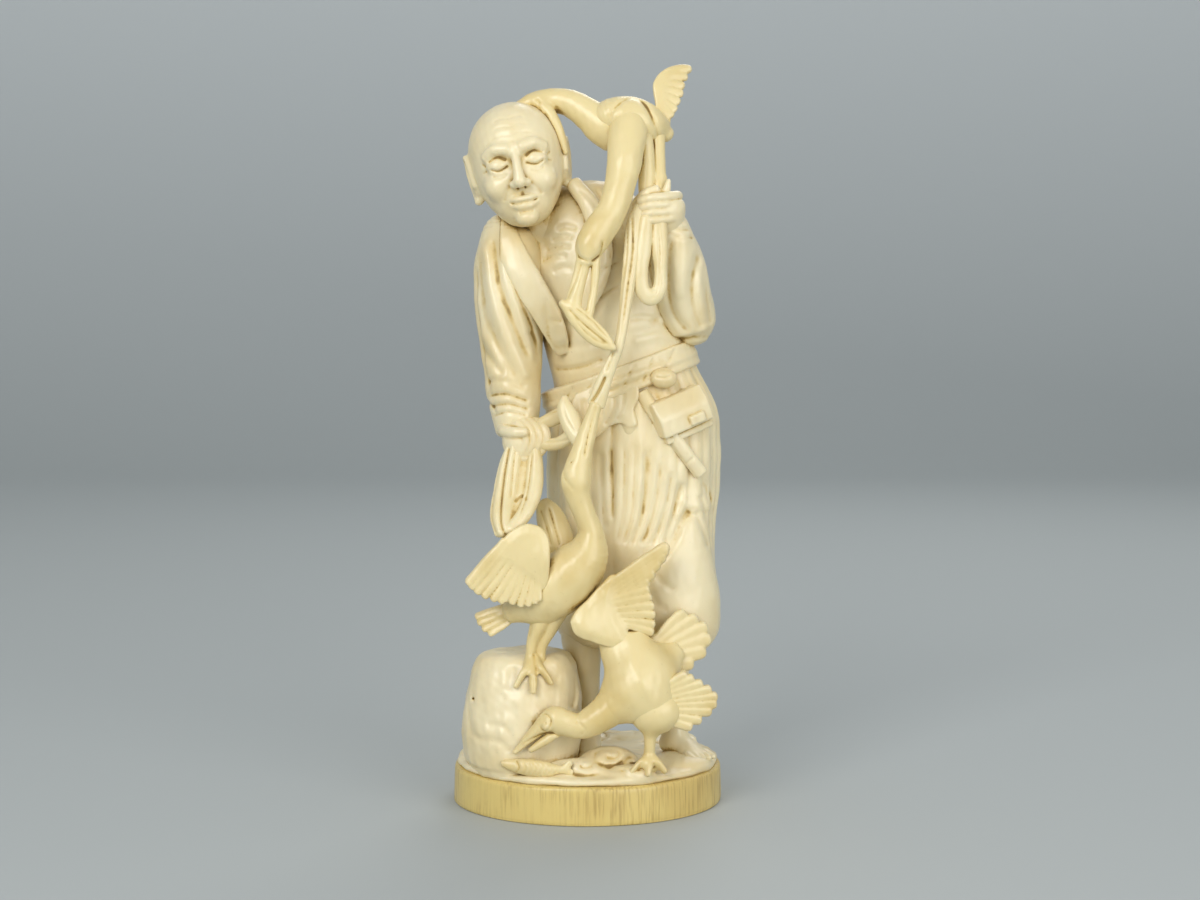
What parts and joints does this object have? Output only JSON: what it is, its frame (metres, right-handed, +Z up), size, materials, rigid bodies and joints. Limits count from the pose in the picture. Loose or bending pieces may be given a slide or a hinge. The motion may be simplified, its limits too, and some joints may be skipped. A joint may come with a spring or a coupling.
{
  "type": "okimono carving",
  "caption": "Standing okimono of a cormorant fisherman in robe and trousers with leashed birds, a boulder and rolling water on an oval base.",
  "frame": {"origin": "middle of the flat underside of the oval base disc", "axes": "+Z up, -Y is the front that the figure faces, +X to the viewer's right"},
  "size_m": [0.0886, 0.0776, 0.2409],
  "materials": {
    "figure_ivory": "polished ivory, ochre patina in the cuts",
    "bird_ivory": "polished ivory, ochre patina in the cuts",
    "cord_ivory": "polished ivory",
    "old_ivory": "yellowed ivory, satin",
    "peg_ivory": "plain turned ivory"
  },
  "bodies": {
    "root": {"base_disc": "old_ivory", "base_pegs": "peg_ivory", "ground": "figure_ivory", "standing_pegs": "peg_ivory", "rock": "figure_ivory", "fish": "bird_ivory", "right_leg": "figure_ivory", "left_leg": "figure_ivory", "trousers": "figure_ivory", "waist_peg": "peg_ivory", "torso": "figure_ivory", "sash": "figure_ivory", "apron_flap": "figure_ivory", "right_sleeve": "figure_ivory", "left_sleeve": "figure_ivory", "right_hand": "figure_ivory", "left_hand": "figure_ivory", "wrist_pegs": "peg_ivory", "neck_peg": "peg_ivory", "head": "figure_ivory", "toggle_bead": "figure_ivory", "tobacco_pouch": "figure_ivory", "pipe_case": "figure_ivory", "upper_bird_body": "bird_ivory", "upper_bird_neck": "bird_ivory", "upper_bird_wing": "bird_ivory", "upper_bird_leg": "bird_ivory", "upper_bird_held_leg": "bird_ivory", "long_leash": "cord_ivory", "leash_loop": "cord_ivory", "leash_knot": "cord_ivory", "hand_straps": "cord_ivory", "hanging_leash": "cord_ivory", "middle_bird_body": "bird_ivory", "middle_bird_near_wing": "bird_ivory", "middle_bird_far_wing": "bird_ivory", "middle_bird_tail": "bird_ivory", "middle_bird_legs": "bird_ivory", "lower_bird_body": "bird_ivory", "lower_bird_leg": "bird_ivory", "lower_bird_neck": "bird_ivory", "lower_bird_raised_wing": "bird_ivory", "lower_bird_folded_wing": "bird_ivory", "lower_bird_tail": "bird_ivory", "bird_pins": "peg_ivory"}
  },
  "joints": []
}
